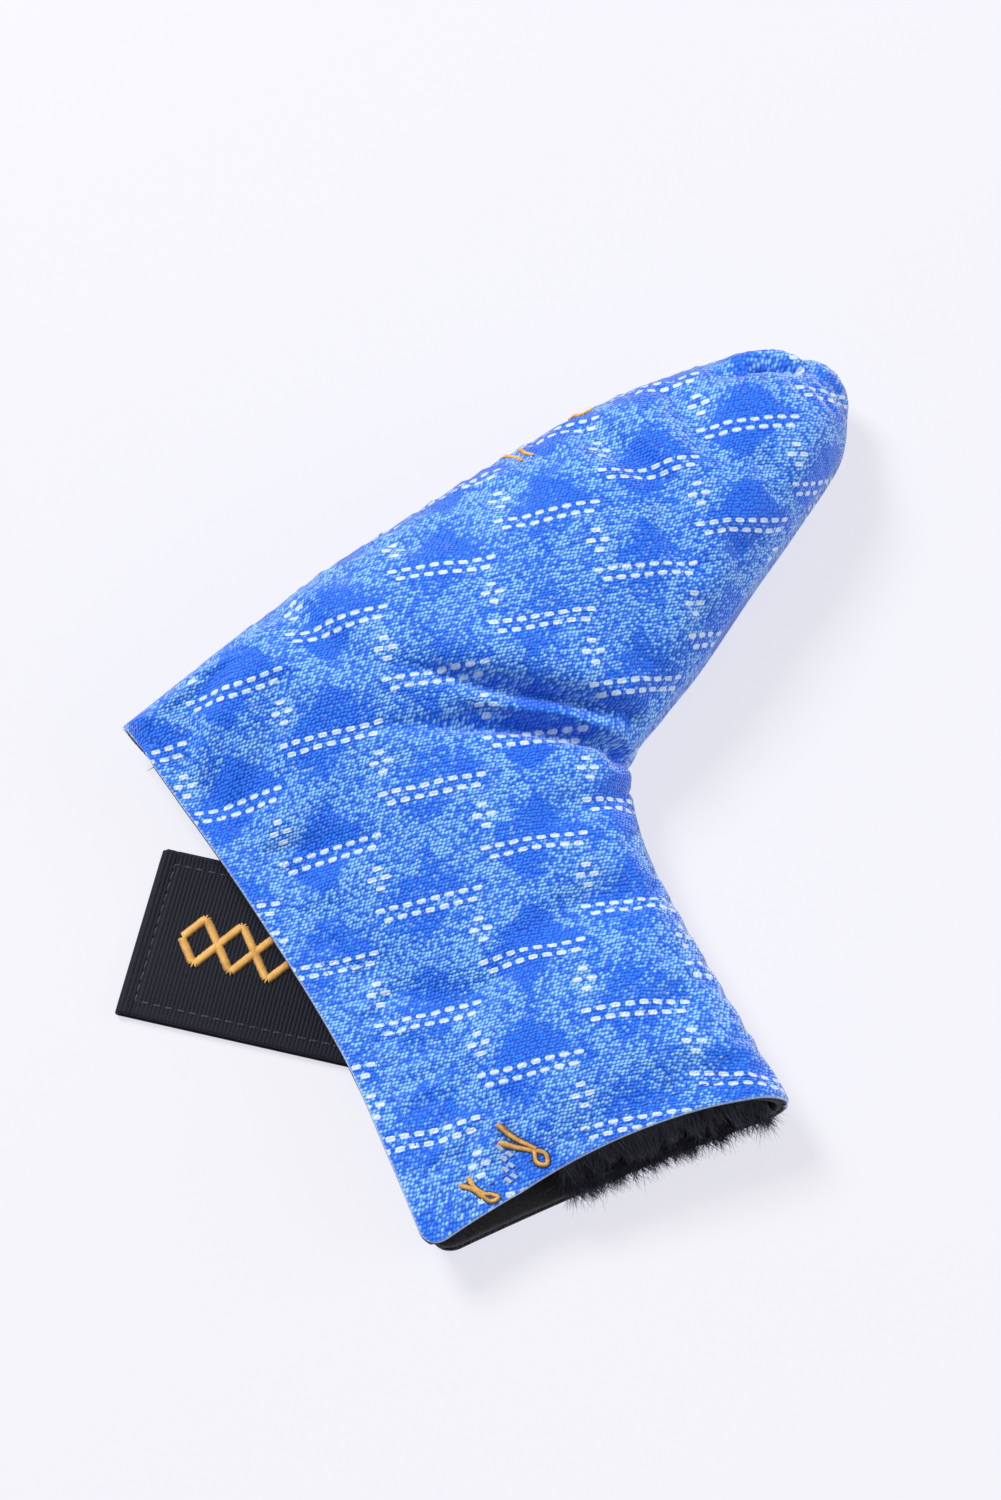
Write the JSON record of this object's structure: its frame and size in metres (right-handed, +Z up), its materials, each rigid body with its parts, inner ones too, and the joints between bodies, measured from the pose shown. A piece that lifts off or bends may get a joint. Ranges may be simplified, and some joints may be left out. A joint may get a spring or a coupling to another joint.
{
  "type": "putter head cover",
  "caption": "Padded blade putter head cover lying on its back, with a peel-open heel flap, fur-lined mouth and webbing pull tab.",
  "frame": {"origin": "on the surface that the back panel rests on, under the centre of the bounding box", "axes": "+X along the sole fold from heel to toe, -Y down the neck to the open mouth, +Z up out of the front panel"},
  "size_m": [0.2144, 0.1557, 0.0294],
  "materials": {
    "coated_canvas": "blue PU-coated canvas with a fine woven grain, pale speckle and rows of white dashes, soft sheen",
    "foam": "open-cell foam interlining, matt off-white",
    "faux_fur": "black short-pile faux fur",
    "loop_tape": "black brushed loop tape",
    "hook_tape": "black nylon hook tape",
    "webbing": "black ribbed polyester webbing",
    "blue_thread": "dark blue bonded sewing thread",
    "black_thread": "black sewing thread",
    "gold_thread": "gold rayon embroidery thread, satin sheen",
    "seam_tape": "black overlocked seam allowance"
  },
  "bodies": {
    "cover": {"outer_canvas": "coated_canvas", "foam_padding": "foam", "fur_lining": "faux_fur", "loop_strip": "loop_tape", "loop_strip_stitch": "black_thread", "back_heel_stitch": "blue_thread", "back_neck_stitch": "blue_thread", "front_neck_stitch": "blue_thread", "seam_thread": "blue_thread", "seam_allowance": "seam_tape", "sole_motif_heel": "gold_thread", "sole_motif_toe": "gold_thread", "tab_anchor_end": "webbing", "tab_anchor_stitch": "black_thread"},
    "front_flap": {"flap_canvas": "coated_canvas", "flap_padding": "foam", "flap_lining": "faux_fur", "hook_strip": "hook_tape", "hook_strip_stitch": "black_thread", "flap_heel_stitch": "blue_thread", "flap_neck_stitch": "blue_thread", "hem_motif_heel": "gold_thread", "hem_motif_mouth": "gold_thread"},
    "pull_tab": {"pull_tab_webbing": "webbing", "tab_border_stitch": "black_thread", "tab_motif": "gold_thread"}
  },
  "joints": [
    {"name": "front_flap_peel", "type": "hinge", "parent": "cover", "child": "front_flap", "pos_m": [-0.0707, 0.0653, 0.013], "axis": [-0.3242, 0.9445, -0.0522], "range_deg": [0, 65]},
    {"name": "pull_tab_swing", "type": "hinge", "parent": "cover", "child": "pull_tab", "pos_m": [-0.05222, -0.01249, 0], "axis": [-0.7547, -0.6561, 0], "range_deg": [0, 150]}
  ]
}
